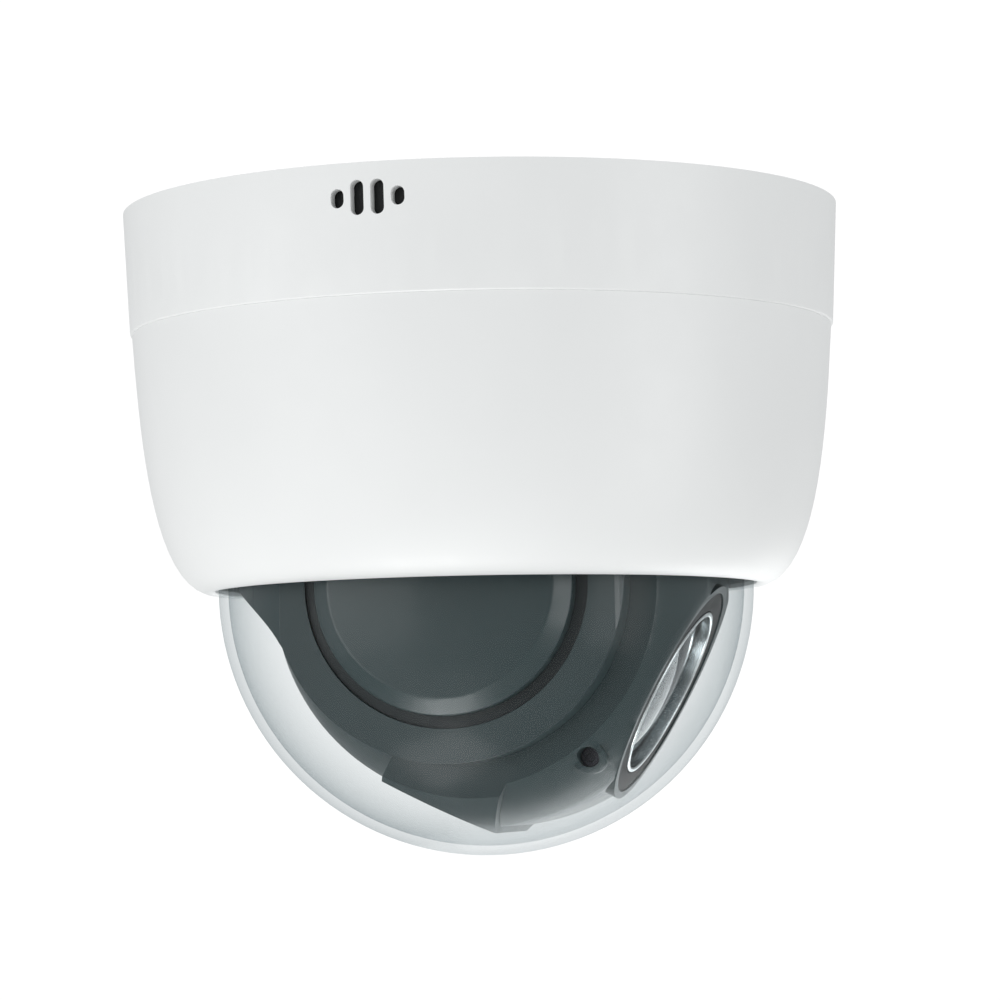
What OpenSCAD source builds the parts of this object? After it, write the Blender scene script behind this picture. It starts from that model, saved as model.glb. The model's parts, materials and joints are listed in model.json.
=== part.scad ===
// Ceiling-mounted pan-tilt-zoom dome camera.
// +Z is up. The origin is the centre of the face that meets the ceiling, and the
// camera hangs below it. The tilt axis runs along Y and the lens looks along +X,
// turned down by tilt_rest.

/* [Housing] */
// Outer diameter at the ceiling
housing_d = 150; // [148:0.5:152]
// Wall thickness of the white shells
wall = 2.6; // [2:0.1:3]
// Depth of the upper ring below the ceiling
base_depth = 25.5; // [25:0.1:25.5]
// Depth of the lower edge of the cover below the ceiling
cover_depth = 79.5; // [79:0.1:80]
// Radius of the round opening for the dome
opening_r = 56.4; // [56.3:0.1:57]

/* [Vent slots] */
// Width of each slot
slot_w = 2.7; // [2.2:0.1:3]
// Height of the two middle slots
slot_long = 6.8; // [5:0.1:7.2]
// Height of the two outer slots
slot_short = 3.7; // [3.2:0.1:4.5]
// Distance between neighbouring slots
slot_pitch = 4.1; // [3.6:0.1:4.6]
// Depth of the slots' centres below the ceiling
slot_depth = 6.8; // [6.4:0.1:7.2]
// Turn of the slot group about the pan axis, from -Y
slot_turn = -4.7; // [-20:0.1:20]

/* [Ceiling bracket] */
// Radius of the bracket disc
bracket_r = 66; // [64:0.5:68]
// Thickness of the bracket disc
bracket_t = 1.6; // [1.2:0.1:2]
// Radius of the cable hole in its middle
cable_hole_r = 24; // [22:0.5:25]
// Diameter of the circle of fixing holes
fixing_pcd = 100; // [90:1:110]
// Radius of each fixing hole
fixing_hole_r = 2.3; // [2:0.1:2.6]

/* [Dome] */
// Outer radius of the clear dome
dome_r = 56; // [55.8:0.1:56.1]
// Thickness of the clear dome
dome_t = 2; // [1.6:0.1:2]
// Depth of the dome's centre below the ceiling
dome_depth = 79; // [78.9:0.1:79.2]

/* [Camera head] */
// Depth of the tilt axis below the ceiling
pivot_depth = 80; // [79.8:0.1:80.1]
// Downward turn of the lens at rest
tilt_rest = 28; // [20:1:35]
// Radius of the sphere that the rear shell is cut from
head_r = 50.9; // [50.5:0.1:50.9]
// Distance from the tilt axis forward to that sphere's centre
head_shift = 4; // [3.5:0.1:4]
// Radius of the sphere that the front shell is cut from
front_r = 51.1; // [50.8:0.1:51.2]
// Radius of the ball that closes the back of the head
back_r = 44.3; // [44:0.1:44.6]
// Radius of the front shell's drum about the tilt axis
nose_r = 49.2; // [48.8:0.1:49.4]
// Radius of the rear shell's drum about the tilt axis
drum_r = 45.3; // [44:0.1:45.4]
// Half the width of the head along the tilt axis
head_half_w = 30; // [29.5:0.1:30]
// Distance from the tilt axis down to the flat underside
head_drop = 42.3; // [42:0.1:42.6]
// Distance from the tilt axis up to the front shell's flat top
head_rise = 34; // [32:0.5:34]
// Distance from the tilt axis to the parting line of the two shells
rim_u = 27.5; // [26:0.5:29]
// Distance from the tilt axis to the lens face
face_u = 44.6; // [44.4:0.1:44.7]
// Drop of the lens axis below the tilt axis
lens_drop = 1.2; // [1:0.1:1.3]

/* [Arms] */
// Radius of the round end of each arm
arm_r = 36; // [35:0.1:36]
// Distance from the pan axis to the arms' inner faces
arm_in = 30.5; // [30.4:0.1:30.8]
// Distance from the pan axis to the arms' outer faces
arm_out = 39; // [38.6:0.1:39.2]
// Distance from the pan axis to the caps' outer faces
cap_out = 45; // [44:0.1:45]
// Radius of each cap's raised disc
cap_disc_r = 23; // [22:0.1:24]
// Radius of each cap at the foot of its bevel
cap_bevel_r = 26.5; // [26:0.1:27]
// Radius of the groove around each cap
cap_groove_r = 29; // [28.5:0.1:29.5]

/* [Hidden] */
$fn = 96;

WHITE = "#e6e9eb";
GRAPHITE = "#566165";
BLACK = "#1b1e20";
STEEL = "#b9bdc1";
BRASS = "#c8a24a";
BOARD = "#1f6b45";
CLEAR = [0.85, 0.92, 0.95, 0.35];

eps = 0.01;               // overrun that keeps a cut open
run = 0.05;               // radial running clearance
lip = 4.3;                // thickness of the cover's inward lip
cover_top = 25.5;         // depth of the cover's upper edge
roof_top = 11;            // depth of the roof that closes the upper ring
roof_t = 1.6;             // its thickness
board_top = 17.6;         // depth of the main board's upper face
board_t = 1.6;            // its thickness
chassis_top = 24.2;       // depth of the chassis plate's upper face
chassis_t = 1.6;          // its thickness
chassis_r = 66;           // its radius
boss_r = 3.2;             // radius of the bosses that hold the chassis plate
boss_at = 62;             // their distance from the pan axis
table_top = 29.6;         // depth of the turntable's upper face
table_t = 2;              // its thickness
table_r = 52;             // its radius
hub_r = 12;               // radius of the hub that the pan bearing runs on
race_r = 18;              // outer radius of the pan bearing
ball_r = 1.5;             // radius of its balls
pan_pulley_r = 30;        // belt radius of the pan pulley
pan_motor_at = 43;        // distance from the pan axis to the pan motor's shaft
motor_pulley_r = 5;       // belt radius of the pan motor's pulley
tilt_pulley_r = 18;       // belt radius of the tilt pulley
tilt_motor_at = 35;       // distance from the tilt axis up to the tilt motor's shaft
tilt_motor_pulley_r = 4.5;// belt radius of the tilt motor's pulley
belt_t = 1;               // thickness of both belts
axle_r = 5;               // radius of the tilt axles
shell_t = 1.8;            // wall of the head's shells
barrel_r = 17.4;          // outer radius of the lens barrel

// Points of a cubic curve through its four control points.
function curve(p, n = 18) = [for (i = [0:n]) let (t = i / n, s = 1 - t)
    s * s * s * p[0] + 3 * s * s * t * p[1] + 3 * s * t * t * p[2] + t * t * t * p[3]];

// A disc or a ring whose upper face is at the given depth below the ceiling.
module disc(r, top, height) {
    translate([0, 0, -top - height]) cylinder(r = r, h = height);
}

module ring(r_out, r_in, top, height) {
    difference() {
        disc(r_out, top, height);
        disc(r_in, top - eps, height + 2 * eps);
    }
}

// A block centred on x, y whose upper face is at the given depth.
module block(x, y, size_x, size_y, top, height) {
    translate([x - size_x / 2, y - size_y / 2, -top - height]) cube([size_x, size_y, height]);
}

// Copies of the children around the pan axis, at radius r.
module around(count, r, turn = 0) {
    for (i = [0:count - 1]) {
        rotate([0, 0, turn + i * 360 / count]) translate([r, 0, 0]) children();
    }
}

// A pan head screw that points up, with the underside of its head at the given depth.
module screw_up(r_head, h_head, r_shank, length, top) {
    disc(r_head, top, h_head);
    disc(r_shank, top - length, length);
}

// A flat belt round two pulleys of radius a and b, whose centres are c apart along X:
// a ring sector on each pulley and two straight runs that lap onto the sectors.
module belt(a, b, c, width) {
    lean = asin((a - b) / c);
    lap = 0.6;
    inset = 0.04;
    linear_extrude(width) {
        difference() {
            belt_ring(a);
            belt_wedge(90 - lean);
        }
        translate([c, 0]) intersection() {
            belt_ring(b);
            belt_wedge(90 - lean);
        }
        for (side = [0, 1]) mirror([0, side]) rotate([0, 0, -lean])
            translate([-lap, a + run + inset]) square([c * cos(lean) + 2 * lap, belt_t - run - 2 * inset]);
    }
}

module belt_ring(r) {
    difference() {
        circle(r = r + belt_t);
        circle(r = r + run);
    }
}

// The part of the plane within the given angle of +X.
module belt_wedge(angle) {
    reach = 200;
    polygon([[0, 0], reach * [cos(angle), sin(angle)], [reach, reach], [reach, -reach],
             reach * [cos(angle), -sin(angle)]]);
}

// A pulley with two thin flanges, from z = 0 up.
module pulley(r, width, flange) {
    edge = 0.3;
    cylinder(r = r, h = width);
    cylinder(r = r + flange, h = edge);
    translate([0, 0, width - edge]) cylinder(r = r + flange, h = edge);
}

// ---------- ceiling bracket and white housing ----------

module ceiling_bracket() color(STEEL) {
    hook_w = 14;
    difference() {
        disc(bracket_r, 0, bracket_t);
        disc(cable_hole_r, -eps, bracket_t + 2 * eps);
        around(4, fixing_pcd / 2, 45) disc(fixing_hole_r, -eps, bracket_t + 2 * eps);
    }
    // three bayonet hooks that carry the housing
    around(3, 0) {
        block(65.2, 0, 1.6, hook_w, bracket_t, 4.9);
        block(67.9, 0, 3.8, hook_w, 5, 1.5);
    }
    // lug for the locking screw
    difference() {
        block(0, 64, 10, 2, bracket_t, 8.4);
        translate([0, 66, -lock_depth]) rotate([90, 0, 0]) cylinder(r = 1.2, h = 4);
    }
}

lock_depth = 6.8;

module bracket_lock_screw() color(STEEL) {
    translate([0, 74.6, -lock_depth]) rotate([90, 0, 0]) {
        difference() {
            cylinder(r = 2, h = 1.1);
            translate([0, 0, -eps]) cylinder(r = 0.9, h = 0.7, $fn = 6);
        }
        translate([0, 0, 1]) cylinder(r = 1.15, h = 12);
    }
}

module vent_slot(height) {
    straight = (height - slot_w) / 2;
    for (side = [-1, 1]) translate([0, 0, side * straight]) rotate([90, 0, 0]) cylinder(r = slot_w / 2, h = 12);
    translate([-slot_w / 2, -12, -straight]) cube([slot_w, 12, 2 * straight]);
}

module jack_cutouts() {
    block(0, 10.8, 16.6, 14.2, roof_top - eps, roof_t + 2 * eps);
    block(0, -10.5, 10.6, 9.6, roof_top - eps, roof_t + 2 * eps);
    translate([button_x, button_y, 0]) disc(2.2, roof_top - eps, roof_t + 2 * eps);
}

button_x = -22;
button_y = 24;

module housing_base() color(WHITE) {
    outer_r = housing_d / 2;
    draft = 1.2;
    inner_low = outer_r - draft - wall;
    inner_high = outer_r - wall;
    ledge_top = roof_top + roof_t;
    ledge_t = 1.6;
    difference() {
        union() {
            rotate_extrude() polygon([
                [inner_low, -base_depth], [outer_r - draft - 0.3, -base_depth],
                [outer_r - draft, -base_depth + 0.3], [outer_r, 0], [inner_high, 0],
                [inner_high - 0.3, -roof_top], [inner_low + 0.4, -ledge_top],
                [inner_low - 3, -ledge_top], [inner_low - 3, -ledge_top - ledge_t],
                [inner_low + 0.35, -ledge_top - ledge_t]
            ]);
            // three tabs that rest on the bracket's hooks
            around(3, 0) block(70.2, 0, 6.2, 12, 3.3, 1.6);
        }
        rotate([0, 0, slot_turn]) for (i = [-1.5:1:1.5]) {
            tall = abs(i) < 1 ? slot_long : slot_short;
            translate([i * slot_pitch, wall + 6 - outer_r, -slot_depth]) vent_slot(tall);
        }
        translate([0, outer_r + 1, -lock_depth]) rotate([90, 0, 0]) {
            cylinder(r = 1.3, h = 6);
            cylinder(r = 2.3, h = 2.5);
        }
    }
}

// floor of the cable space, welded onto the housing's ledge
module base_tray() color(WHITE) {
    tray_r = 71;
    pilot_r = 1.2;
    pilot_depth = 8;
    difference() {
        union() {
            disc(tray_r, roof_top, roof_t);
            around(4, boss_at, 45) disc(boss_r, roof_top + 1, chassis_top - roof_top - 1);
        }
        around(4, boss_at, 45) disc(pilot_r, chassis_top - pilot_depth, pilot_depth + 1);
        jack_cutouts();
    }
}

module housing_cover() color(WHITE) {
    outer = curve([[73.4, -cover_top], [72.1, -44.9], [70, -75.8], [59, -cover_depth + 0.1]]);
    inner = curve([[61.2, -cover_depth + lip], [67.6, -70], [69.2, -45], [69.8, -26]], 12);
    difference() {
        union() {
            rotate_extrude() polygon(concat(
                [[69.6, -21], [71, -21], [71, -cover_top]], outer,
                [[57.6, -cover_depth], [opening_r + 0.3, -cover_depth + 0.4], [opening_r, -cover_depth + 1.2],
                 [opening_r, -cover_depth + lip]],
                inner
            ));
            // ribs behind which the clips snap
            around(3, 0) intersection() {
                ring(70.6, 67.6, 26.8, 1.4);
                block(69, 0, 6, 12, 26, 4);
            }
        }
        around(6, ring_screw_at, 30) disc(0.95, cover_depth - lip - eps, 2.6);
    }
}

ring_screw_at = 58.8;

module cover_clips() color(STEEL) {
    around(3, 0) {
        block(64.9, 0, 4.4, 8, 23.4, 0.8);
        block(66.7, 0, 0.8, 8, 23.4, 6.6);
        block(68.1, 0, 2, 8, 28.4, 0.8);
    }
}

// ---------- chassis, board and connectors ----------

module chassis_plate() color(STEEL) {
    difference() {
        disc(chassis_r, chassis_top, chassis_t);
        disc(race_r, chassis_top - eps, chassis_t + 2 * eps);
        around(4, boss_at, 45) disc(1.6, chassis_top - eps, chassis_t + 2 * eps);
        translate([-pan_motor_at, 0, 0]) disc(3, chassis_top - eps, chassis_t + 2 * eps);
    }
}

standoff_at = 48;

module board_standoffs() color(BRASS) {
    around(4, standoff_at, 30) ring(2.5, 1.3, roof_top + roof_t, board_top - roof_top - roof_t);
}

module chassis_and_board_screws() color(STEEL) {
    around(4, boss_at, 45) screw_up(2.6, 1.6, 1.2, 7.5, chassis_top + chassis_t);
    around(4, standoff_at, 30) screw_up(2.4, 1.5, 1.3, 5, board_top + board_t);
}

module main_board() color(BOARD) {
    switch_h = 1.9;
    difference() {
        disc(56, board_top, board_t);
        block(-pan_motor_at - 2, 0, 28, 24, board_top - eps, board_t + 2 * eps);
        around(4, standoff_at, 30) disc(1.5, board_top - eps, board_t + 2 * eps);
    }
    difference() {
        block(button_x, button_y, 6, 6, board_top - switch_h, switch_h);
        translate([button_x, button_y, 0]) disc(1.5 + run, board_top - switch_h - eps, switch_h);
    }
}

module reset_button() color(BLACK) {
    translate([button_x, button_y, 0]) disc(1.5, 9.8, 7);
}

module heat_sink() color("#3a3f44") {
    translate([29, -25, 0]) {
        block(0, 0, 22, 22, board_top + board_t, 1.2);
        for (i = [-3:3]) block(i * 3.4, 0, 1.2, 22, board_top + board_t + 1, 3);
    }
}

module board_capacitors() color("#22262b") {
    for (i = [0:2]) translate([14 + i * 8, 26, 0]) disc(3, board_top - 4.6, 4.6);
}

module ethernet_jack() color(STEEL) {
    difference() {
        block(0, 10.8, 16, 13.6, 4, board_top - 4);
        block(0, 10.8, 12, 8.4, 4 - eps, 10.5);
    }
}

module power_jack() color(BLACK) {
    difference() {
        block(0, -10.5, 10, 9, 6.6, board_top - 6.6);
        translate([0, -10.5, 0]) disc(3.2, 6.6 - eps, 9);
    }
    translate([0, -10.5, 0]) disc(1, 8, 8);
}

module memory_card_slot() color(STEEL) {
    difference() {
        block(-14, -38, 15, 14, board_top - 1.9, 1.9);
        block(-14, -39, 11.4, 13, board_top - 1.4, 0.9);
    }
}

// ---------- dome ----------

flange_r = 60.8;          // outer radius of the dome's flange
gasket_t = 0.6;           // thickness of the dome's gasket
flange_t = 2.4;           // thickness of the dome's flange
flange_low = cover_depth - lip - gasket_t;

module dome_bubble() color(CLEAR) {
    inner_r = dome_r - dome_t;
    difference() {
        rotate_extrude() {
            intersection() {
                translate([0, -dome_depth]) difference() {
                    circle(r = dome_r, $fn = 180);
                    circle(r = inner_r, $fn = 180);
                }
                translate([0, -dome_depth - dome_r - 1]) square([dome_r + 1, dome_r + 1]);
            }
            translate([inner_r, -dome_depth]) square([dome_t, dome_depth - flange_low + flange_t]);
            translate([inner_r, -flange_low]) square([flange_r - inner_r, flange_t]);
        }
        around(6, ring_screw_at, 30) disc(1.05, flange_low - flange_t - eps, flange_t + 2 * eps);
    }
}

module dome_gasket() color(BLACK) {
    difference() {
        ring(60.4, dome_r + 0.6, flange_low, gasket_t);
        around(6, ring_screw_at, 30) disc(1.05, flange_low - eps, gasket_t + 2 * eps);
    }
}

module dome_retaining_ring() color(BLACK) {
    top = flange_low - flange_t - 2;
    difference() {
        ring(flange_r, 55, top, 2);
        around(6, ring_screw_at, 30) disc(1.05, top - eps, 2 + 2 * eps);
    }
}

module retaining_ring_screws() color(STEEL) {
    top = flange_low - flange_t - 2;
    around(6, ring_screw_at, 30) {
        disc(1.9, top - 1.3, 1.3);
        disc(0.95, top, cover_depth - lip - top + 2.4);
    }
}

// ---------- pan drive ----------

race_top = 21;
race_h = chassis_top + chassis_t - race_top;
ball_at = (hub_r + race_r) / 2;

module ball_track() {
    translate([0, 0, -race_top - race_h / 2]) rotate_extrude() translate([ball_at, 0]) circle(r = ball_r + run);
}

module pan_bearing_outer_race() color(STEEL) {
    difference() {
        ring(race_r, ball_at + 0.6, race_top, race_h);
        ball_track();
    }
}

module pan_bearing_inner_race() color(STEEL) {
    difference() {
        ring(ball_at - 0.6, hub_r, race_top, race_h);
        ball_track();
    }
}

module pan_bearing_balls() color(STEEL) {
    around(18, ball_at) translate([0, 0, -race_top - race_h / 2]) sphere(r = ball_r, $fn = 32);
}

module pan_motor() color(STEEL) {
    translate([-pan_motor_at, 0, 0]) difference() {
        union() {
            disc(10, chassis_top - 10.4, 10.4);
            for (side = [-1, 1]) block(0, side * 12, 7, 6, chassis_top - 0.8, 0.8);
        }
        disc(1 + run, chassis_top - 6, 6 + eps);
        for (side = [-1, 1]) translate([0, side * 13, 0]) disc(1.3, chassis_top - 1, 1 + eps);
    }
}

module pan_motor_pulley() color(BRASS) {
    width = 2.6;
    translate([-pan_motor_at, 0, 0]) {
        translate([0, 0, -table_top + 0.4]) pulley(motor_pulley_r, width, 1);
        disc(1, chassis_top - 5, table_top - chassis_top + 3);
    }
}

module pan_belt() color(BLACK) {
    width = 1.8;
    translate([0, 0, -table_top + 0.8]) rotate([0, 0, 180])
        belt(pan_pulley_r, motor_pulley_r, pan_motor_at, width);
}

module pan_pulley() color(BLACK) {
    difference() {
        translate([0, 0, -table_top]) pulley(pan_pulley_r, 3, 1);
        disc(hub_r, table_top - 3 - eps, 3 + 2 * eps);
    }
}

module slip_ring_stator() color(BLACK) {
    disc(7, board_top + board_t, 1.2);
    ring(6.5, 5, board_top + board_t + 1, 8);
}

module slip_ring_rotor() color(BRASS) {
    disc(4.6, 22, table_top - 22);
    disc(8, table_top, table_t);
}

module pan_home_sensor() color(BLACK) {
    low = chassis_top + chassis_t;
    rotate([0, 0, 100]) {
        block(51.1, 0, 5.2, 6, low, 1.1);
        block(49.2, 0, 1.4, 6, low + 1, 2);
        block(53, 0, 1.4, 6, low + 1, 2);
    }
}

module turntable() color(GRAPHITE) {
    difference() {
        union() {
            disc(table_r, table_top, table_t);
            disc(hub_r, race_top, table_top - race_top + eps);
            // flag that passes through the home sensor
            rotate([0, 0, 100]) block(51.1, 0, 1, 3, table_top - 1.9, 2);
        }
        disc(8, race_top - eps, table_top + table_t - race_top + 2 * eps);
        arm_screw_places() {
            disc(1.5, table_top, table_t + eps);
            disc(2.9, table_top - eps, 1.4 + eps);
        }
    }
}

// Runs its children over the four screws that hold the arms.
module arm_screw_places() {
    for (x = [-15, 15], side = [-1, 1]) translate([x, side * 34.7, 0]) children();
}

module arm_screws() color(STEEL) {
    arm_screw_places() {
        disc(2.7, table_top + 0.2, 1.2);
        disc(1.4, table_top + 1.4, 7);
    }
}

// ---------- arms and shroud ----------

// Side outline of the shoulder that sweeps back from the arms round the head.
module shoulder_outline() {
    top = pivot_depth - table_top - table_t;
    sweep = curve([[-32.6, -14.2], [-35.6, -8.6], [-40.5, -4.2], [-53, 3.5]], 12);
    polygon(concat(sweep, [[-53, top], [-20, top], [-20, -14.2]]));
}

// Stands a 2D outline in the plane of the tilt, centred on the tilt axis, and
// extrudes it from y = from to y = to.
module tilt_extrude(from, to) {
    translate([0, to, -pivot_depth]) rotate([90, 0, 0]) linear_extrude(to - from) children();
}

shroud_r = 52;            // outer radius of the arms' backs and of the shroud
recess_y = arm_out - 1;   // distance from the pan axis to the floor of the cap's groove
cavity_r = 24.6;          // radius of the space behind each cap
cavity_y = 33;            // distance from the pan axis to its floor

// A cylinder about the tilt axis, on the far side, from y = from to y = to.
module tilt_disc(r, from, to) {
    translate([0, to, -pivot_depth]) rotate([90, 0, 0]) cylinder(r = r, h = to - from);
}

module arm_blank() {
    intersection() {
        union() {
            tilt_disc(arm_r, arm_in, arm_out);
            translate([-arm_r, arm_in, -pivot_depth])
                cube([2 * arm_r, arm_out - arm_in, pivot_depth - table_top - table_t]);
            tilt_extrude(arm_in, arm_out) shoulder_outline();
        }
        disc(shroud_r, table_top, 100);
    }
}

module arm_cuts() {
    tilt_disc(cap_groove_r, recess_y, arm_out + eps);
    tilt_disc(cavity_r, cavity_y, arm_out + eps);
    tilt_disc(bush_r, arm_in - eps, cavity_y + eps);
    arm_screw_places() disc(1.4, table_top + table_t - eps, 7);
}

bush_r = 7;

module far_arm() color(GRAPHITE) {
    difference() {
        arm_blank();
        arm_cuts();
        // the belt and the motor's pulley run in a pocket above the cap
        translate([-12, cavity_y, -pivot_depth]) cube([24, 4, tilt_motor_at + 8]);
        translate([0, 0, tilt_motor_at]) tilt_disc(1.6, cavity_y, arm_out + eps);
    }
}

module near_arm() color(GRAPHITE) {
    mirror([0, 1, 0]) difference() {
        arm_blank();
        arm_cuts();
    }
}

module cap_shape() {
    skin = 1.4;
    shoulder_y = cap_out - 3.4;
    translate([0, 0, -pivot_depth]) rotate([-90, 0, 0]) rotate_extrude() polygon([
        [0, cap_out], [cap_disc_r, cap_out - 0.3], [cap_bevel_r, shoulder_y], [cap_bevel_r, recess_y],
        [cap_bevel_r - skin, recess_y], [cap_bevel_r - skin, shoulder_y - 0.4],
        [cap_disc_r - 0.5, cap_out - 1.7], [0, cap_out - 1.5]
    ]);
}

module far_arm_cap() color(GRAPHITE) cap_shape();

module near_arm_cap() color(GRAPHITE) mirror([0, 1, 0]) cap_shape();

module rear_shroud() color(GRAPHITE) {
    intersection() {
        ring(shroud_r, shroud_r - 0.8, table_top + table_t, 70);
        tilt_extrude(0.1 - arm_in, arm_in - 0.1) shoulder_outline();
        translate([-60, -40, -120]) cube([50, 80, 120]);
    }
}

module tilt_bushes() color(BRASS) {
    for (side = [0, 1]) mirror([0, side, 0]) difference() {
        tilt_disc(bush_r, arm_in, cavity_y);
        tilt_disc(axle_r + run, arm_in - eps, cavity_y + eps);
    }
}

// ---------- tilt drive ----------

tilt_motor_r = 8;

module tilt_motor() color(STEEL) {
    translate([0, 0, tilt_motor_at]) difference() {
        union() {
            tilt_disc(tilt_motor_r, arm_out, arm_out + 10);
            for (side = [-1, 1]) translate([side * 10 - 3, arm_out, -pivot_depth - 3]) cube([6, 0.8, 6]);
        }
        tilt_disc(1 + run, arm_out - eps, arm_out + 6);
    }
}

module tilt_motor_pulley() color(BRASS) {
    translate([0, 36.7, tilt_motor_at - pivot_depth]) rotate([90, 0, 0]) pulley(tilt_motor_pulley_r, 3.2, 0.9);
    translate([0, 0, tilt_motor_at]) tilt_disc(1, 36, arm_out + 5);
}

module tilt_belt() color(BLACK) {
    translate([0, 36.1, -pivot_depth]) rotate([90, -90, 0])
        belt(tilt_pulley_r, tilt_motor_pulley_r, tilt_motor_at, 2);
}

module tilt_pulley() color(BLACK) {
    difference() {
        translate([0, 36.7, -pivot_depth]) rotate([90, 0, 0]) pulley(tilt_pulley_r, 3.2, 0.9);
        tilt_disc(axle_r, 33, 37);
    }
}

module drive_board() color(BOARD) {
    mirror([0, 1, 0]) translate([-14, arm_out, -pivot_depth + 29]) cube([28, 1.2, 14]);
    mirror([0, 1, 0]) translate([-9, arm_out + 1, -pivot_depth + 33]) cube([7, 2, 6]);
    mirror([0, 1, 0]) translate([2, arm_out + 1, -pivot_depth + 32]) cube([9, 1.2, 9]);
}

// ---------- camera head ----------
// Inside head_place() the tilt axis is Y, the lens looks along +X and +Z is the top.

module head_place() {
    translate([0, 0, -pivot_depth]) rotate([0, tilt_rest, 0]) children();
}

// A cylinder or a ring about the lens axis, from x = from to x = to.
module lens_disc(r, from, to) {
    translate([from, 0, -lens_drop]) rotate([0, 90, 0]) cylinder(r = r, h = to - from);
}

module lens_ring(r_out, r_in, from, to) {
    difference() {
        lens_disc(r_out, from, to);
        lens_disc(r_in, from - eps, to + eps);
    }
}

// A cylinder along Y on both sides of the head, from |y| = from to |y| = to.
module side_discs(r, from, to, x = 0, z = 0) {
    for (side = [-1, 1]) translate([x, side * (from + to) / 2, z]) rotate([90, 0, 0])
        cylinder(r = r, h = to - from, center = true);
}

heel_u = 4;               // where the head's flat underside begins

// The rear shell's outer form, grown or shrunk by grow, as far forward as x = front:
// a flat-bottomed body cut from a sphere, with a ball behind it.
module head_form(grow, front) {
    half_w = head_half_w + grow;
    back_x = heel_u - grow;
    intersection() {
        union() {
            intersection() {
                union() {
                    rotate([90, 0, 0]) cylinder(r = drum_r + grow, h = 2 * half_w, center = true, $fn = 180);
                    translate([0, -half_w, -60]) cube([60, 2 * half_w, 60]);
                }
                translate([back_x, -half_w - 1, -head_drop - grow]) cube([80, 2 * half_w + 2, 120]);
                translate([head_shift, 0, 0]) sphere(r = head_r + grow, $fn = 180);
            }
            intersection() {
                rotate([90, 0, 0]) sphere(r = back_r + grow, $fn = 180);
                translate([-60, -half_w - 1, -60]) cube([60 + back_x + 0.5, 2 * half_w + 2, 120]);
            }
        }
        translate([-60, -half_w, -60]) cube([60 + front, 2 * half_w, 120]);
    }
}

module head_rear_shell() color(GRAPHITE) head_place() difference() {
    head_form(0, rim_u);
    head_form(-shell_t, rim_u + 1);
    side_discs(axle_r, head_half_w - 3, head_half_w + 1);
}

spigot = 3;               // length of the front shell inside the rear shell
bezel_r = 23;             // radius of the front shell's round opening
collar_r = 24.6;          // radius of the collar around it
boss_x = 39.6;            // place of the side screws, and their distance below the tilt axis
boss_drop = 18.7;
boss_top = 27;            // distance from the pan axis to the bosses' faces
boss_reach = 1.1;         // how far the bosses stand out of the front shell's sphere

// A sphere whose poles lie on the lens axis.
module ball(r) {
    rotate([0, 90, 0]) sphere(r = r, $fn = 180);
}

module head_front_shell() color(GRAPHITE) head_place() difference() {
    union() {
        difference() {
            union() {
                intersection() {
                    ball(front_r);
                    rotate([90, 0, 0]) cylinder(r = nose_r, h = 80, center = true, $fn = 180);
                    translate([rim_u, -head_half_w, -60])
                        cube([face_u - rim_u, 2 * head_half_w, 60 + head_rise]);
                }
                // lip that slides into the rear shell
                intersection() {
                    head_form(-shell_t - 0.3, rim_u + 1);
                    rotate([90, 0, 0]) cylinder(r = nose_r - 0.4, h = 80, center = true, $fn = 180);
                    translate([rim_u - spigot, -40, -50]) cube([spigot + 2, 80, 100]);
                }
            }
            intersection() {
                ball(front_r - shell_t);
                rotate([90, 0, 0]) cylinder(r = nose_r - shell_t, h = 90, center = true, $fn = 180);
                translate([10, -26.6, -38.9]) cube([60, 53.2, 69.4]);
            }
        }
        lens_disc(collar_r, 35, face_u);
        intersection() {
            side_discs(3.3, 21, boss_top, boss_x, -boss_drop);
            ball(front_r + boss_reach);
        }
    }
    lens_disc(bezel_r, 30, 60);
    side_discs(2.05, 23, 40, boss_x, -boss_drop);
}

module head_screws() color(STEEL) head_place() difference() {
    side_discs(1.95, 23, 24.6, boss_x, -boss_drop);
    side_discs(0.9, 24, 26, boss_x, -boss_drop);
}

module lens_bezel() color(BLACK) head_place() {
    lens_ring(bezel_r - 0.05, 18.6, 41.6, face_u - 0.3);
    lens_ring(bezel_r - 0.05, 17.5, 40.4, 41.6);
}

module bezel_trim_ring() color(STEEL) head_place() lens_ring(18.5, 17.5, 41.6, face_u);

module tilt_axles() color(STEEL) head_place() difference() {
    union() {
        side_discs(axle_r, 26.6, 36.7);
        side_discs(8, 26.6, head_half_w - shell_t);
    }
    side_discs(3, 26, 37);
}

// ---------- zoom lens block ----------

barrel_in = 15.4;         // inner radius of the lens barrel
rod_at = 12;              // distance from the lens axis to each guide rod
rod_r = 1;                // radius of the guide rods

module lens_barrel() color(BLACK) head_place() {
    lens_ring(barrel_r, barrel_in, -21.2, 42);
    // feet that carry the barrel in the rear shell
    for (side = [-1, 1]) translate([-8, side * 21.8 - 4.8, -lens_drop - 3]) cube([16, 9.6, 3]);
}

module front_lens() color(CLEAR) head_place() intersection() {
    lens_disc(barrel_in, 33, 40);
    translate([6.5, 0, -lens_drop]) sphere(r = 31, $fn = 120);
}

module rear_lens() color(CLEAR) head_place() {
    lens_disc(8, -16, -13.6);
    lens_ring(barrel_in, 8, -15.6, -14);
}

module guide_rod_places() {
    for (side = [-1, 1]) translate([0, side * rod_at, 0]) children();
}

module lens_guide_rods() color(STEEL) head_place() guide_rod_places() lens_disc(rod_r, -14, 32.5);

module iris_unit() color(BLACK) head_place() difference() {
    lens_disc(barrel_in, 4, 7);
    lens_disc(5, 3, 8);
    guide_rod_places() lens_disc(rod_r, 3, 8);
}

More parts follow.
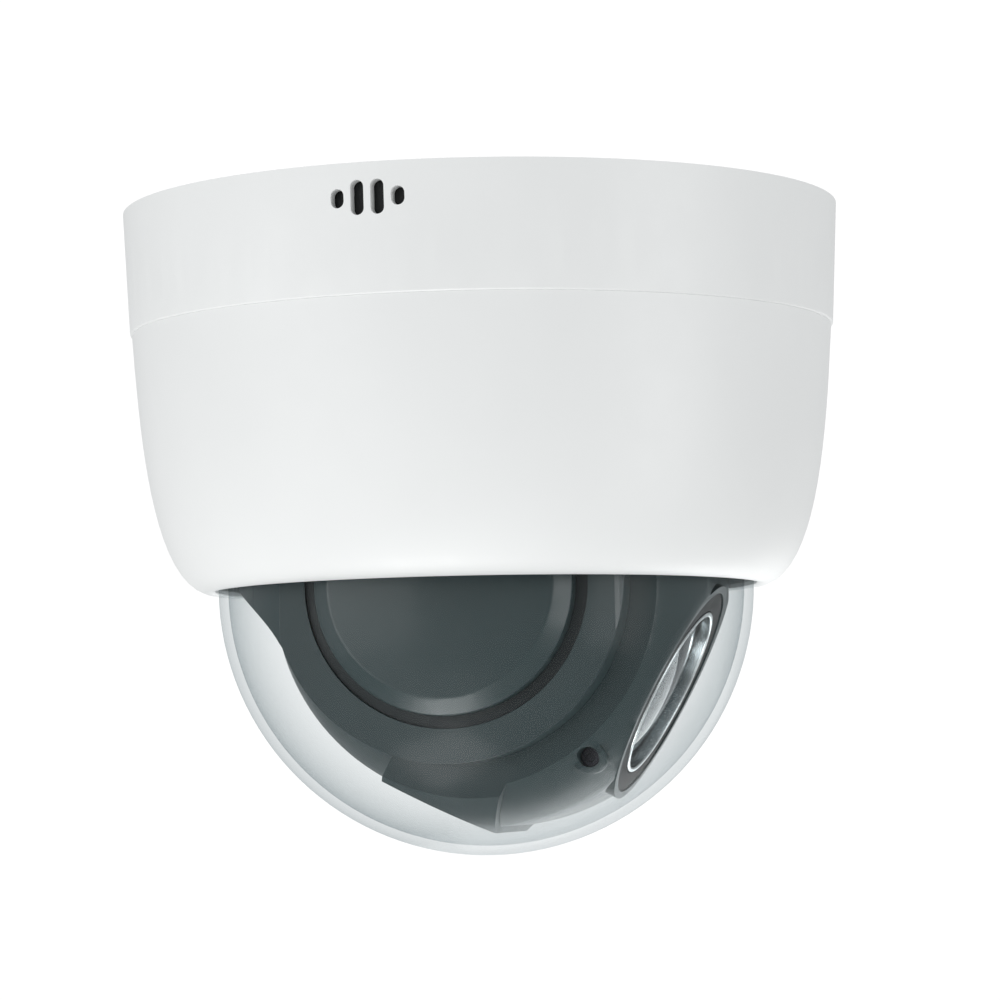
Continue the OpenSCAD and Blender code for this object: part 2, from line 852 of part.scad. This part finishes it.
// A lens group on its carriage, which slides on the two guide rods.
module carriage(r, from, to) {
    difference() {
        union() {
            lens_disc(r, from, to);
            guide_rod_places() lens_disc(2.2, from, to);
        }
        guide_rod_places() lens_disc(rod_r + run, from - eps, to + eps);
    }
}

module zoom_group() color(BLACK) head_place() carriage(10.4, 18, 23);

module focus_group() color(BLACK) head_place() carriage(10.2, -8, -4);

module lens_motors() color(STEEL) head_place() for (from = [-12, 8]) {
    translate([from, 0, -lens_drop - barrel_r - 5.4]) rotate([0, 90, 0]) cylinder(r = 5, h = 12);
    translate([from + 2, -3, -lens_drop - barrel_r - 1.5]) cube([8, 6, 1.4]);
}

module filter_frame() color(BLACK) head_place() {
    difference() {
        lens_disc(barrel_in, -19.6, -18.8);
        translate([-20, -4, -lens_drop - 4]) cube([2, 8, 8]);
    }
    for (low = [-6.2, 4.6]) translate([-18.8, -6, low - lens_drop]) cube([1.2, 19.6, 1.6]);
}

module infrared_filter() color([0.75, 0.35, 0.4, 0.5]) head_place()
    translate([-18.7, -4.5, -lens_drop - 4.5]) cube([0.8, 9, 9]);

module sensor_board() color(BOARD) head_place() {
    translate([-22.6, -14, -lens_drop - 14]) cube([1.4, 28, 28]);
    translate([-21.3, -5, -lens_drop - 4]) cube([1.5, 10, 8]);
}

ceiling_bracket();
bracket_lock_screw();
housing_base();
base_tray();
housing_cover();
cover_clips();
chassis_plate();
board_standoffs();
main_board();
chassis_and_board_screws();
heat_sink();
board_capacitors();
ethernet_jack();
power_jack();
memory_card_slot();
dome_bubble();
dome_gasket();
dome_retaining_ring();
retaining_ring_screws();
pan_bearing_outer_race();
pan_bearing_balls();
pan_motor();
pan_belt();
slip_ring_stator();
pan_home_sensor();
reset_button();
pan_motor_pulley();
turntable();
pan_pulley();
pan_bearing_inner_race();
slip_ring_rotor();
near_arm();
near_arm_cap();
far_arm();
far_arm_cap();
rear_shroud();
arm_screws();
tilt_bushes();
tilt_motor();
tilt_belt();
drive_board();
tilt_motor_pulley();
head_rear_shell();
head_front_shell();
lens_bezel();
bezel_trim_ring();
head_screws();
tilt_axles();
tilt_pulley();
lens_barrel();
front_lens();
rear_lens();
lens_guide_rods();
iris_unit();
lens_motors();
sensor_board();
filter_frame();
zoom_group();
focus_group();
infrared_filter();
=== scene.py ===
"""Ceiling pan-tilt-zoom dome camera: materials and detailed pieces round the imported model."""
import json
import math

import bmesh
import bpy
from mathutils import Matrix, Vector

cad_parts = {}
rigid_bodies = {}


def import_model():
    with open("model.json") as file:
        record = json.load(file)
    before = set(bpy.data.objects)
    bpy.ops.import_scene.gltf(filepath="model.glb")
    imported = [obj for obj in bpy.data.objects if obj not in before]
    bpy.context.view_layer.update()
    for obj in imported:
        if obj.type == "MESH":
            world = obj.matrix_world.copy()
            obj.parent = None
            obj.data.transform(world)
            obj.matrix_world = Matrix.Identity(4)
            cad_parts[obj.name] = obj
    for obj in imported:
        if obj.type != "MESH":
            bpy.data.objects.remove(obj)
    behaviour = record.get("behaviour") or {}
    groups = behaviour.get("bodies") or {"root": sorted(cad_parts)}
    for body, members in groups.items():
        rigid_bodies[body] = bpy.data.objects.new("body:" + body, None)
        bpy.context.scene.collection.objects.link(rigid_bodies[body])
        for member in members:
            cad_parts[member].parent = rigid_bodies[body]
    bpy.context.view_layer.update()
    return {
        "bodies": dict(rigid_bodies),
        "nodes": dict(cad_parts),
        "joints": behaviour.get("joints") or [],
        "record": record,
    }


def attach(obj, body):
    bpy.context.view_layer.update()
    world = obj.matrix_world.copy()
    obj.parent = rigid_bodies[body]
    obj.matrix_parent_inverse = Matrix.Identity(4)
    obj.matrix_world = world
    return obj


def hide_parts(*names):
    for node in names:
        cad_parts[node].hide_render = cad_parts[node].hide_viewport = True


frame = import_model()

MM = 0.001
TILT_REST = math.radians(28)   # downward turn of the lens at rest
LENS_DROP = 1.2                # the lens axis is this far below the tilt axis, in mm
EDGE_ANGLE = 32                # corners sharper than this many degrees are rounded
TILT = next(j for j in frame["joints"] if j["name"] == "tilt")
PIVOT_Z = TILT["pos_m"][2] / MM


# ---------- node materials ----------

def new_material(name):
    mat = bpy.data.materials.new(name)
    mat.use_nodes = True
    nodes, links = mat.node_tree.nodes, mat.node_tree.links
    nodes.clear()
    out = nodes.new("ShaderNodeOutputMaterial")
    shader = nodes.new("ShaderNodeBsdfPrincipled")
    links.new(shader.outputs[0], out.inputs[0])
    return mat, nodes, links, shader, out


def noise(nodes, links, scale, detail=2.0, stretch=(1, 1, 1), turn=(0, 0, 0)):
    """A noise texture in the row frame, with scale in features per metre."""
    place = nodes.new("ShaderNodeTexCoord")
    mapping = nodes.new("ShaderNodeMapping")
    mapping.inputs["Scale"].default_value = stretch
    mapping.inputs["Rotation"].default_value = turn
    tex = nodes.new("ShaderNodeTexNoise")
    tex.inputs["Scale"].default_value = scale
    tex.inputs["Detail"].default_value = detail
    links.new(place.outputs["Object"], mapping.inputs["Vector"])
    links.new(mapping.outputs[0], tex.inputs["Vector"])
    return tex.outputs["Fac"]


def ramp(nodes, links, value, low, high):
    """Maps 0.3..0.7 of a noise value to low..high."""
    node = nodes.new("ShaderNodeMapRange")
    node.inputs["From Min"].default_value = 0.3
    node.inputs["From Max"].default_value = 0.7
    node.inputs["To Min"].default_value = low
    node.inputs["To Max"].default_value = high
    links.new(value, node.inputs["Value"])
    return node.outputs[0]


def blend_colours(nodes, links, value, one, two):
    node = nodes.new("ShaderNodeMix")
    node.data_type = "RGBA"
    node.inputs["A"].default_value = (*one, 1)
    node.inputs["B"].default_value = (*two, 1)
    links.new(value, node.inputs["Factor"])
    return node.outputs["Result"]


def bump(nodes, links, value, strength, depth):
    node = nodes.new("ShaderNodeBump")
    node.inputs["Strength"].default_value = strength
    node.inputs["Distance"].default_value = depth * MM
    links.new(value, node.inputs["Height"])
    return node.outputs[0]


def plastic(name, colour, rough, shift=0.05, grain=2600, relief=0.02, strength=0.35, specular=0.5):
    """Moulded plastic: a slow drift of tone, a fine sparked grain and uneven gloss."""
    mat, nodes, links, shader, _ = new_material(name)
    drift = noise(nodes, links, 28, 3)
    tone = ramp(nodes, links, drift, 0, 1)
    dark = [c * (1 - shift) for c in colour]
    light = [min(1, c * (1 + shift)) for c in colour]
    links.new(blend_colours(nodes, links, tone, dark, light), shader.inputs["Base Color"])
    gloss = noise(nodes, links, 180, 4)
    links.new(ramp(nodes, links, gloss, rough - 0.035, rough + 0.035), shader.inputs["Roughness"])
    fine = noise(nodes, links, grain, 2)
    links.new(bump(nodes, links, fine, strength, relief), shader.inputs["Normal"])
    shader.inputs["Specular IOR Level"].default_value = specular
    return mat


def metal(name, colour, rough, stretch=(1, 1, 12), grain=900, relief=0.01):
    """Machined or rolled metal: fine lines along one direction and a little tarnish."""
    mat, nodes, links, shader, _ = new_material(name)
    shader.inputs["Metallic"].default_value = 1
    lines = noise(nodes, links, grain, 3, stretch)
    tarnish = noise(nodes, links, 120, 4)
    tone = ramp(nodes, links, tarnish, 0, 1)
    dark = [c * 0.86 for c in colour]
    links.new(blend_colours(nodes, links, tone, dark, colour), shader.inputs["Base Color"])
    links.new(ramp(nodes, links, lines, rough - 0.07, rough + 0.09), shader.inputs["Roughness"])
    links.new(bump(nodes, links, lines, 0.4, relief), shader.inputs["Normal"])
    return mat


def circuit(name):
    """Solder mask over copper tracks: thin lighter lines in a rectangular weave."""
    mat, nodes, links, shader, _ = new_material(name)
    place = nodes.new("ShaderNodeTexCoord")
    brick = nodes.new("ShaderNodeTexBrick")
    brick.inputs["Scale"].default_value = 190
    brick.inputs["Color1"].default_value = (0.012, 0.105, 0.052, 1)
    brick.inputs["Color2"].default_value = (0.016, 0.13, 0.066, 1)
    brick.inputs["Mortar"].default_value = (0.05, 0.235, 0.11, 1)
    brick.inputs["Mortar Size"].default_value = 0.018
    brick.offset = 0.37
    links.new(place.outputs["Object"], brick.inputs["Vector"])
    links.new(brick.outputs["Color"], shader.inputs["Base Color"])
    gloss = noise(nodes, links, 300, 3)
    links.new(ramp(nodes, links, gloss, 0.24, 0.36), shader.inputs["Roughness"])
    links.new(bump(nodes, links, brick.outputs["Fac"], 0.3, 0.05), shader.inputs["Normal"])
    return mat


def clear(name, tint, edge_tint, rough, gain, reflect=(1, 1, 1), tint_power=2.0):
    """A thin clear wall: what is behind shows through it, more deeply tinted towards the edge, under a
    mirror that also grows towards the edge."""
    mat, nodes, links, shader, out = new_material(name)
    weight = nodes.new("ShaderNodeLayerWeight")
    weight.inputs["Blend"].default_value = 0.5
    deep = nodes.new("ShaderNodeMath")
    deep.operation = "POWER"
    deep.inputs[1].default_value = tint_power
    links.new(weight.outputs["Facing"], deep.inputs[0])
    through = nodes.new("ShaderNodeBsdfTransparent")
    links.new(blend_colours(nodes, links, deep.outputs[0], tint, edge_tint), through.inputs[0])
    haze = noise(nodes, links, 9, 1)
    links.new(ramp(nodes, links, haze, rough * 0.9, rough * 1.1), shader.inputs["Roughness"])
    shader.inputs["Base Color"].default_value = (*reflect, 1)
    shader.inputs["Metallic"].default_value = 1
    glance = nodes.new("ShaderNodeMath")
    glance.operation = "POWER"
    glance.inputs[1].default_value = 5
    links.new(weight.outputs["Facing"], glance.inputs[0])
    mirror = nodes.new("ShaderNodeMapRange")
    mirror.inputs["To Min"].default_value = 0.034 * gain
    mirror.inputs["To Max"].default_value = min(1, gain)
    links.new(glance.outputs[0], mirror.inputs["Value"])
    mix = nodes.new("ShaderNodeMixShader")
    links.new(mirror.outputs[0], mix.inputs[0])
    links.new(through.outputs[0], mix.inputs[1])
    links.new(shader.outputs[0], mix.inputs[2])
    links.new(mix.outputs[0], out.inputs[0])
    return mat


WHITE = plastic("white_shell", (0.87, 0.88, 0.875), 0.42, shift=0.012, grain=2200, relief=0.008,
                strength=0.2)
GRAPHITE = plastic("graphite_shell", (0.031, 0.050, 0.053), 0.32, shift=0.05, grain=2400, relief=0.003,
                   strength=0.2)
BLACK = plastic("black_plastic", (0.014, 0.016, 0.018), 0.38, shift=0.1, grain=2600, relief=0.015)
MATT_BLACK = plastic("baffle_black", (0.008, 0.009, 0.010), 0.62, shift=0.1, grain=3200, relief=0.004)
RUBBER = plastic("rubber", (0.016, 0.022, 0.024), 0.62, shift=0.12, grain=1500, relief=0.04)
STEEL = metal("steel", (0.56, 0.57, 0.58), 0.34)
GROUND_STEEL = metal("ground_steel", (0.64, 0.65, 0.66), 0.16, grain=1600)
TRIM = metal("trim_metal", (0.74, 0.78, 0.79), 0.2, grain=1400)
BRASS = metal("brass", (0.66, 0.48, 0.2), 0.28)
ANODISED = metal("black_anodised", (0.07, 0.07, 0.078), 0.45)
BOARD = circuit("solder_mask")
DOME = clear("clear_dome", (0.985, 0.99, 0.99), (0.72, 0.75, 0.76), 0.22, 0.15, tint_power=2.0)
LENS = clear("coated_glass", (0.70, 0.76, 0.78), (0.3, 0.34, 0.36), 0.012, 1.0, (0.93, 0.98, 1.0))
FILTER = clear("filter_glass", (0.75, 0.35, 0.42), (0.5, 0.1, 0.2), 0.02, 1.0, (0.6, 1.0, 0.9))

SLOT_MATERIAL = {
    "housing_white": WHITE, "graphite_plastic": GRAPHITE, "black_plastic": BLACK, "clear_dome": DOME,
    "lens_glass": LENS, "filter_glass": FILTER, "steel": STEEL, "bright_trim": TRIM, "brass": BRASS,
    "circuit_board": BOARD, "heat_sink_black": ANODISED, "rubber_black": RUBBER,
    "bearing_steel": GROUND_STEEL,
}
SLOT_OF = {row["node"]: row["material_slot"] for row in frame["record"]["subparts"]}
BODY_OF = {node: body for node, obj in frame["nodes"].items()
           for body, empty in frame["bodies"].items() if obj.parent == empty}


# ---------- meshes ----------

def dress(obj, mat):
    obj.data.materials.clear()
    obj.data.materials.append(mat)


def shade(obj, angle=30):
    """Smooth faces, with real edges sharper than angle kept."""
    obj.data.shade_smooth()
    obj.data.set_sharp_from_angle(angle=math.radians(angle))


def new_object(name, bm, mat, body, node=None, angle=30, place=None):
    mesh = bpy.data.meshes.new(name)
    bm.normal_update()
    bm.to_mesh(mesh)
    bm.free()
    mesh.transform(Matrix.Scale(MM, 4))
    if place is not None:
        mesh.transform(place)
    obj = bpy.data.objects.new(name, mesh)
    bpy.context.scene.collection.objects.link(obj)
    dress(obj, mat)
    shade(obj, angle)
    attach(obj, body)
    if node:
        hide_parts(node)
    return obj


def rounded(points, radii, steps=5):
    """Rounds the corners of an outline. radii gives one radius per point, 0 for a sharp one."""
    made = []
    count = len(points)
    for i, (p, r) in enumerate(zip(points, radii)):
        p = Vector(p)
        if r == 0:
            made.append(tuple(p))
            continue
        a, b = Vector(points[i - 1]) - p, Vector(points[(i + 1) % count]) - p
        half = a.angle(b) / 2
        reach = min(r / math.tan(half), a.length * 0.48, b.length * 0.48)
        a, b = p + a.normalized() * reach, p + b.normalized() * reach
        for k in range(steps + 1):
            t = k / steps
            made.append(tuple(a * (1 - t) ** 2 + p * 2 * t * (1 - t) + b * t * t))
    return made


def lathe(points, n=192):
    """Turns a closed outline of (radius, z) about Z."""
    bm = bmesh.new()
    rings = []
    for r, z in points:
        if r < 1e-6:
            rings.append([bm.verts.new((0, 0, z))])
            continue
        turns = [2 * math.pi * k / n for k in range(n)]
        rings.append([bm.verts.new((r * math.cos(t), r * math.sin(t), z)) for t in turns])
    for a, b in zip(rings, rings[1:] + rings[:1]):
        if len(a) == 1 and len(b) == 1:
            continue
        for k in range(n):
            j = (k + 1) % n
            corners = [a[k % len(a)], a[j % len(a)], b[j % len(b)], b[k % len(b)]]
            corners = [c for i, c in enumerate(corners) if c not in corners[:i]]
            bm.faces.new(corners)
    bmesh.ops.recalc_face_normals(bm, faces=bm.faces)
    return bm


def edged_copy(node, mat, width):
    """A refined copy of a CAD node: merged, with its real edges rounded to width in mm."""
    src = frame["nodes"][node]
    mesh = src.data.copy()
    bm = bmesh.new()
    bm.from_mesh(mesh)
    bmesh.ops.remove_doubles(bm, verts=bm.verts, dist=2e-6)
    bmesh.ops.dissolve_limit(bm, angle_limit=math.radians(0.6), verts=bm.verts, edges=bm.edges)
    bm.to_mesh(mesh)
    bm.free()
    mesh.transform(src.matrix_world)
    obj = bpy.data.objects.new(node + "_edged", mesh)
    bpy.context.scene.collection.objects.link(obj)
    dress(obj, mat)
    shade(obj, EDGE_ANGLE)
    mod = obj.modifiers.new("edge", "BEVEL")
    mod.width = width * MM
    mod.segments = 3
    mod.limit_method = "ANGLE"
    mod.angle_limit = math.radians(EDGE_ANGLE)
    mod.use_clamp_overlap = True
    mod.harden_normals = True
    mod.miter_outer = "MITER_ARC"
    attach(obj, BODY_OF[node])
    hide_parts(node)
    return obj


# every CAD node gets the procedural material of its slot
for node, obj in frame["nodes"].items():
    dress(obj, SLOT_MATERIAL[SLOT_OF[node]])
    shade(obj)

# places: about the tilt axis, and about the lens axis of the head at rest
PIVOT = Matrix.Translation((0, 0, PIVOT_Z * MM))
HEAD = PIVOT @ Matrix.Rotation(TILT_REST, 4, "Y")
LENS_AXIS = HEAD @ Matrix.Translation((0, 0, -LENS_DROP * MM)) @ Matrix.Rotation(math.pi / 2, 4, "Y")
NEAR_SIDE = PIVOT @ Matrix.Rotation(math.pi / 2, 4, "X")
FAR_SIDE = PIVOT @ Matrix.Rotation(-math.pi / 2, 4, "X")


# ---------- pieces with rounded edges ----------

# radius of the rounded edges of each piece, in mm
EDGE = {
    "housing_base": 0.35, "base_tray": 0.25, "housing_cover": 0.35, "ceiling_bracket": 0.2,
    "bracket_lock_screw": 0.12, "chassis_plate": 0.2, "chassis_and_board_screws": 0.1,
    "board_standoffs": 0.12, "main_board": 0.12, "heat_sink": 0.15, "board_capacitors": 0.25,
    "ethernet_jack": 0.2, "power_jack": 0.2, "memory_card_slot": 0.1, "dome_retaining_ring": 0.3,
    "retaining_ring_screws": 0.1, "pan_motor": 0.3, "slip_ring_stator": 0.15, "pan_home_sensor": 0.12,
    "reset_button": 0.12, "turntable": 0.3, "slip_ring_rotor": 0.1, "near_arm": 0.45, "far_arm": 0.45,
    "near_arm_cap": 0.4, "far_arm_cap": 0.4, "rear_shroud": 0.15, "arm_screws": 0.1, "tilt_bushes": 0.12,
    "tilt_motor": 0.3, "drive_board": 0.12, "head_rear_shell": 0.3, "head_front_shell": 0.3,
    "lens_bezel": 0.3, "head_screws": 0.12, "tilt_axles": 0.15, "lens_barrel": 0.15, "iris_unit": 0.1,
    "lens_motors": 0.25, "sensor_board": 0.12, "filter_frame": 0.1, "zoom_group": 0.15, "focus_group": 0.15,
}
# the lens barrel and bezel are matt black; the head screws are dark anodised as painted shade for the dark
# holes they sit in
FINISH_AND_PAINTED_SHADE = {"head_screws": ANODISED, "lens_barrel": MATT_BLACK, "lens_bezel": MATT_BLACK}
for node, width in EDGE.items():
    edged_copy(node, FINISH_AND_PAINTED_SHADE.get(node, SLOT_MATERIAL[SLOT_OF[node]]), width)



def bar(bm, near, far):
    """Four faces that join two rings of four corners."""
    for k in range(4):
        j = (k + 1) % 4
        bm.faces.new((near[k], near[j], far[j], far[k]))


def painted_shade_sheet():
    """A matt black curved strip behind the vent slots: painted shade that darkens the space seen through
    them.
    """
    outer, inner = 71.75, 71.35                # its radii
    top, bottom = -1.6, -10.6
    middle = -math.pi / 2 + math.radians(-4.7)  # the slots' middle, as in the CAD
    half, count = math.radians(9), 12
    bm = bmesh.new()
    rings = []
    for k in range(count + 1):
        angle = middle + half * (2 * k / count - 1)
        rings.append([bm.verts.new((r * math.cos(angle), r * math.sin(angle), z))
                      for r, z in ((inner, top), (outer, top), (outer, bottom), (inner, bottom))])
    for near, far in zip(rings, rings[1:]):
        bar(bm, near, far)
    bm.faces.new(rings[0])
    bm.faces.new(rings[-1])
    bmesh.ops.recalc_face_normals(bm, faces=bm.faces)
    new_object("vent_painted_shade_sheet", bm, MATT_BLACK, "fixed")


def cap_groove_shade_rings():
    """Thin dark rubber rings at the foot of the groove round each arm's cap: painted shade that darkens the
    groove.
    """
    inner, outer = 26.6, 28.9
    floor, face = 38.02, 38.3                  # distances from the pan axis
    outline = [(inner, floor), (outer, floor), (outer, face), (inner, face)]
    for side, place in (("near", NEAR_SIDE), ("far", FAR_SIDE)):
        new_object(side + "_cap_groove_shade", lathe(outline), RUBBER, "pan", place=place)


def trim_ring():
    """The trim ring with a rounded front edge."""
    inner, outer, back, front, edge = 17.5, 18.5, 41.6, 44.6, 0.35
    outline = [(inner, back), (outer, back), (outer, front), (inner, front)]
    new_object("trim_ring_turned", lathe(rounded(outline, [0, 0, edge, edge])), TRIM, "head",
               node="bezel_trim_ring", place=LENS_AXIS)


painted_shade_sheet()
cap_groove_shade_rings()
trim_ring()


# ---------- optics ----------
# z runs along the lens axis, from the tilt axis forwards

def lens_side(apex, radius, edge, n=24):
    """Half the outline of a spherical face with its vertex at apex. radius is signed."""
    made = []
    for k in range(n + 1):
        r = edge * k / n
        made.append((r, apex + radius - math.copysign(math.sqrt(radius * radius - r * r), radius)))
    return made


def lens(name, front, back, edge, node=None):
    """A lens from its front and back faces, each given as (vertex, radius of curvature)."""
    outline = lens_side(*front, edge) + lens_side(*back, edge)[::-1]
    new_object(name, lathe(outline, 160), LENS, "head", node=node,
               place=LENS_AXIS, angle=50)


def barrel_baffle():
    """A stepped light baffle between the front lens and the outer element."""
    outer, front, back = 15.3, 40.4, 35.2
    first, wider, longer, count = 13.2, 0.5, 1.3, 4   # the first step's radius, and how each step grows
    outline = [(outer, front), (outer, back)]
    for k in range(count):
        r, z = first + wider * k, back + longer * k
        outline += [(r, z), (r, z + longer)]
    new_object("barrel_baffle", lathe(outline, 128), MATT_BLACK, "head",
               place=LENS_AXIS, angle=20)


def iris_blades():
    """Eight curved blades that overlap round the iris, every second one a little higher."""
    count, front, lift, thick = 8, 7.35, 0.12, 0.1
    shape = ((4.6, 0), (4.3, 12), (4.6, 30), (6.5, 52), (11.5, 58), (11.8, 30), (11.5, 2))  # radius, degrees
    bm = bmesh.new()
    for k in range(count):
        turn = math.radians(360 / count * k)
        top = front + lift * (k % 2)
        outline = [(r * math.cos(turn + math.radians(a)), r * math.sin(turn + math.radians(a)))
                   for r, a in shape]
        low = [bm.verts.new((x, y, top - thick)) for x, y in outline]
        high = [bm.verts.new((x, y, top)) for x, y in outline]
        bm.faces.new(low[::-1])
        bm.faces.new(high)
        for i in range(len(outline)):
            j = (i + 1) % len(outline)
            bm.faces.new((low[i], low[j], high[j], high[i]))
    bmesh.ops.recalc_face_normals(bm, faces=bm.faces)
    new_object("iris_blades", bm, ANODISED, "head", place=LENS_AXIS)


lens("front_lens_ground", (37.5, -31), (33.05, 400), 15.35, node="front_lens")
lens("outer_element", (44.2, -60), (41.7, -120), 17.35)
barrel_baffle()
iris_blades()


# ---------- camera, light and floor ----------

def aim_camera():
    """Looks slightly up at the camera's near side, from a little to its right."""
    data = bpy.data.cameras.new("camera")
    data.sensor_width = 36
    data.lens = 140.2
    data.clip_start, data.clip_end = 0.01, 50
    cam = bpy.data.objects.new("camera", data)
    bpy.context.scene.collection.objects.link(cam)
    turn, away, height = math.radians(12.19), 816 * MM, -119.5 * MM
    pitch, roll, aside = math.radians(4.12), math.radians(1.04), 3.2 * MM
    right = Vector((math.cos(turn), math.sin(turn), 0))
    ahead = (Vector((-math.sin(turn), math.cos(turn), 0)) * away + right * aside).normalized()
    look = ahead * math.cos(pitch) + Vector((0, 0, math.sin(pitch)))
    right = look.cross(Vector((0, 0, 1))).normalized()
    up = right.cross(look)
    right, up = right * math.cos(roll) - up * math.sin(roll), up * math.cos(roll) + right * math.sin(roll)
    cam.matrix_world = Matrix.Translation((math.sin(turn) * away, -math.cos(turn) * away, height)) @ Matrix(
        (right, up, -look)).transposed().to_4x4()
    bpy.context.scene.camera = cam


LIGHTS = (   # name, place and size in metres, power in watts
    ("key", (-0.85, -0.95, -0.1), (1.1, 1.1), 6.2),
    ("low", (-0.15, -0.7, -0.9), (0.7, 0.4), 0.9),
    ("under", (-0.085, -0.1, -0.5), (0.24, 0.16), 0.55),
    ("back", (0.1, 0.85, -0.42), (0.8, 0.4), 1.3),
    ("rim", (0.06, 0.5, -0.55), (0.5, 0.3), 1.0),
    ("side", (1.0, -0.35, -0.15), (0.5, 0.8), 3.2),
)


def softbox(name, place, size, power):
    """A rectangular light that faces the middle of the object."""
    data = bpy.data.lights.new(name, "AREA")
    data.shape = "RECTANGLE"
    data.size, data.size_y = size
    data.energy = power
    lamp = bpy.data.objects.new(name, data)
    bpy.context.scene.collection.objects.link(lamp)
    lamp.location = place
    lamp.rotation_euler = (Vector((0, 0, -0.08)) - Vector(place)).to_track_quat("-Z", "Y").to_euler()
    lamp.visible_camera = False


def studio():
    """A white backdrop, soft light from all sides, the softboxes and a pale floor well below the camera."""
    world = bpy.data.worlds.new("studio")
    bpy.context.scene.world = world
    world.use_nodes = True
    nodes, links = world.node_tree.nodes, world.node_tree.links
    nodes.clear()
    out = nodes.new("ShaderNodeOutputWorld")
    path = nodes.new("ShaderNodeLightPath")
    seen, light = nodes.new("ShaderNodeBackground"), nodes.new("ShaderNodeBackground")
    seen.inputs["Color"].default_value = (1, 1, 1, 1)
    seen.inputs["Strength"].default_value = 1.05
    light.inputs["Color"].default_value = (0.97, 0.985, 1, 1)
    light.inputs["Strength"].default_value = 0.55
    mix = nodes.new("ShaderNodeMixShader")
    links.new(path.outputs["Is Camera Ray"], mix.inputs[0])
    links.new(light.outputs[0], mix.inputs[1])
    links.new(seen.outputs[0], mix.inputs[2])
    links.new(mix.outputs[0], out.inputs[0])
    for name, place, size, power in LIGHTS:
        softbox(name, place, size, power)
    bpy.context.scene.view_settings.view_transform = "Standard"
    bm = bmesh.new()
    bmesh.ops.create_circle(bm, cap_ends=True, segments=96, radius=6)
    mesh = bpy.data.meshes.new("floor")
    bm.to_mesh(mesh)
    bm.free()
    floor = bpy.data.objects.new("floor", mesh)
    bpy.context.scene.collection.objects.link(floor)
    floor.location.z = -1.2
    dress(floor, plastic("floor_paint", (0.82, 0.82, 0.81), 0.7, shift=0.01))


aim_camera()
studio()
